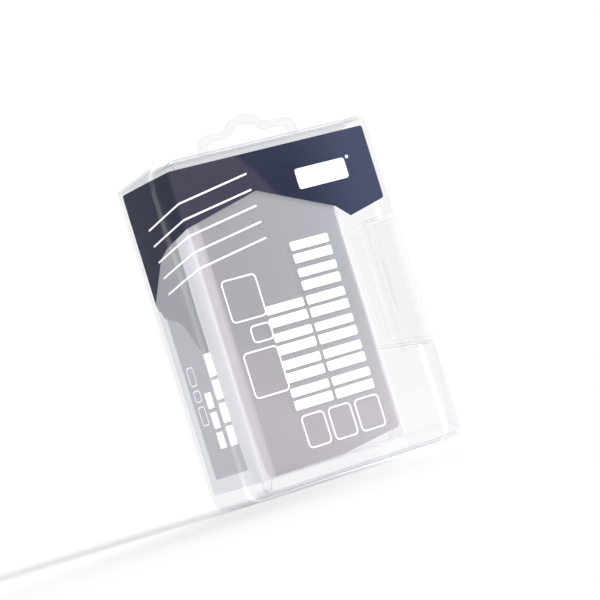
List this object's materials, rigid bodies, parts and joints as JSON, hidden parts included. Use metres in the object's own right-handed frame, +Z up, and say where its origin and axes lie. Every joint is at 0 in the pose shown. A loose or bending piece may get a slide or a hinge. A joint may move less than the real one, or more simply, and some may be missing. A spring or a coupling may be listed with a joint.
{
  "type": "detailing clay bar",
  "caption": "Grey detailing clay bar in clear film, inside an upright clear plastic hang case with a side-hinged lid, snap latch flap, hanging slot and printed wrap label.",
  "frame": {"origin": "centre of the case's footprint, on the surface that it stands on", "axes": "+X from the hinge side to the latch side, +Y from the lid to the tray's back, +Z up"},
  "size_m": [0.0828, 0.0376, 0.125],
  "materials": {
    "frosted_case": "translucent moulded polypropylene, softly frosted",
    "thin_web": "thin flexed polypropylene film hinge",
    "clay": "soft kneadable mauve grey clay, matt with a faint sheen",
    "wrap_film": "thin clear film",
    "label_film": "clear adhesive label film",
    "navy_ink": "dark navy print, satin",
    "white_ink": "opaque white print"
  },
  "bodies": {
    "tray": {"rear_tray": "frosted_case", "hang_tab": "frosted_case", "tray_hinge_web": "thin_web", "latch_catch": "frosted_case", "clay_bar": "clay", "clay_film": "wrap_film", "label_rear": "label_film", "navy_print_rear": "navy_ink"},
    "lid": {"lid": "frosted_case", "lid_hinge_web": "thin_web", "label_front": "label_film", "navy_print_front": "navy_ink", "latch_film_hinge": "thin_web"},
    "latch": {"latch_flap": "frosted_case", "latch_bead": "frosted_case"}
  },
  "joints": [
    {"name": "lid_hinge", "type": "hinge", "parent": "tray", "child": "lid", "pos_m": [-0.0414, -0.00655, 0.0575], "axis": [0, 0, -1], "range_deg": [0, 180]},
    {"name": "latch_hinge", "type": "hinge", "parent": "lid", "child": "latch", "pos_m": [0.0227, -0.01775, 0.057], "axis": [0, 0, -1], "range_deg": [0, 100]}
  ]
}
